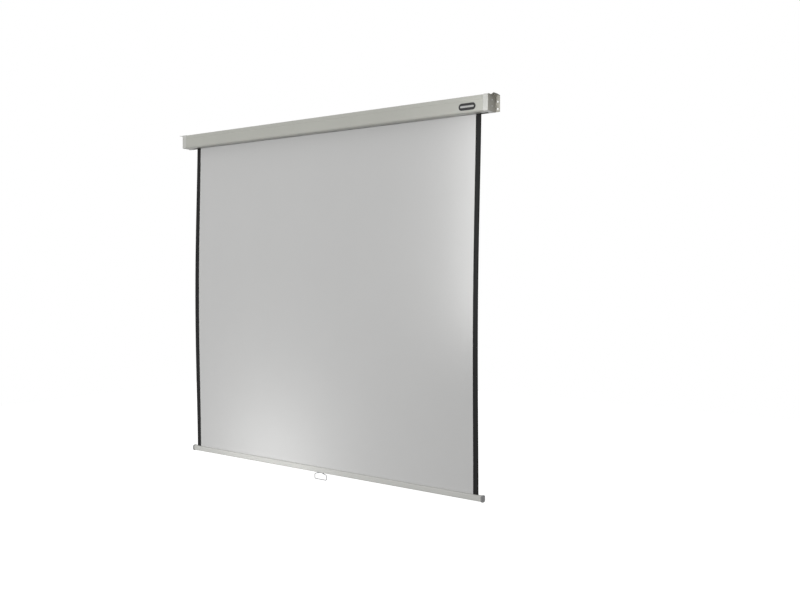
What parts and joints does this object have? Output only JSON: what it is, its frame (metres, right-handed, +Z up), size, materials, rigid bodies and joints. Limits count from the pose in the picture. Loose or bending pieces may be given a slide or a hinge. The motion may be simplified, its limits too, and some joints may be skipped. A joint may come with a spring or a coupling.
{
  "type": "pull-down projector screen",
  "caption": "Wall or ceiling projection screen: a boxed spring roller case with end brackets, a black-bordered matte sheet pulled down full, and a bottom bar with a wire handle.",
  "frame": {"origin": "middle of the case's back, on the wall plane, level with the roller's axis", "axes": "+X along the case to the viewer's right, +Y into the wall, so the viewer is at -Y, +Z up; the sheet hangs along -Z"},
  "size_m": [2.194, 0.0756, 1.9705],
  "materials": {
    "case_paint": "light grey-beige powder coat, satin",
    "cap_plastic": "off-white moulded plastic, satin",
    "matte_sheet": "matte white coated projection fabric with printed black side borders",
    "bar_paint": "light grey-beige powder coat, satin",
    "bar_cap_plastic": "mid grey moulded plastic, satin",
    "zinc_steel": "bright zinc plate",
    "spring_steel": "oiled spring steel",
    "badge_dark": "black, glossy, plain",
    "badge_silver": "plain satin silver bar",
    "nylon": "natural nylon"
  },
  "bodies": {
    "case": {"case_shell": "case_paint", "end_cap_left": "cap_plastic", "end_cap_right": "cap_plastic", "mount_bracket_left": "case_paint", "mount_bracket_right": "case_paint", "bracket_screw_left_upper": "zinc_steel", "bracket_screw_left_lower": "zinc_steel", "bracket_screw_right_upper": "zinc_steel", "bracket_screw_right_lower": "zinc_steel", "badge_plate": "badge_dark", "badge_bar": "badge_silver", "shaft_holder": "nylon", "bearing_holder": "nylon", "bearing_bush": "nylon", "spring_shaft": "zinc_steel", "spring_fixed_collar": "nylon", "collar_pin": "zinc_steel", "torsion_spring": "spring_steel", "ratchet_wheel": "zinc_steel", "screen_sheet": "matte_sheet"},
    "roller": {"roller_tube": "zinc_steel", "sheet_wraps": "matte_sheet", "roller_plug_left": "nylon", "roller_plug_right": "nylon", "idle_pin": "zinc_steel", "spring_drive_plug": "nylon", "pawl_pin": "zinc_steel"},
    "pawl": {"lock_pawl": "zinc_steel"},
    "bar": {"bottom_bar": "bar_paint", "bar_cap_left": "bar_cap_plastic", "bar_cap_right": "bar_cap_plastic", "hem_rod": "zinc_steel", "handle_clip": "zinc_steel", "clip_screw_left": "zinc_steel", "clip_screw_right": "zinc_steel"},
    "handle": {"pull_handle": "zinc_steel"}
  },
  "joints": [
    {"name": "bar_slide", "type": "slide", "parent": "case", "child": "bar", "axis": [0, 0, 1], "range_m": [0, 1.816], "deforming": ["screen_sheet"]},
    {"name": "roller_turn", "type": "hinge", "parent": "case", "child": "roller", "pos_m": [0, -0.0365, 0], "axis": [1, 0, 0], "range_deg": [0, 4410]},
    {"name": "pawl_swing", "type": "hinge", "parent": "roller", "child": "pawl", "pos_m": [-1.0186, -0.03893, -0.01379], "axis": [1, 0, 0], "range_deg": [0, 25]},
    {"name": "handle_swing", "type": "hinge", "parent": "bar", "child": "handle", "pos_m": [0, -0.0162, -1.89525], "axis": [1, 0, 0], "range_deg": [-85, 85]}
  ],
  "couplings": [
    {"joint": "roller_turn", "follows": "bar_slide", "rad_per_m": 42.384}
  ]
}
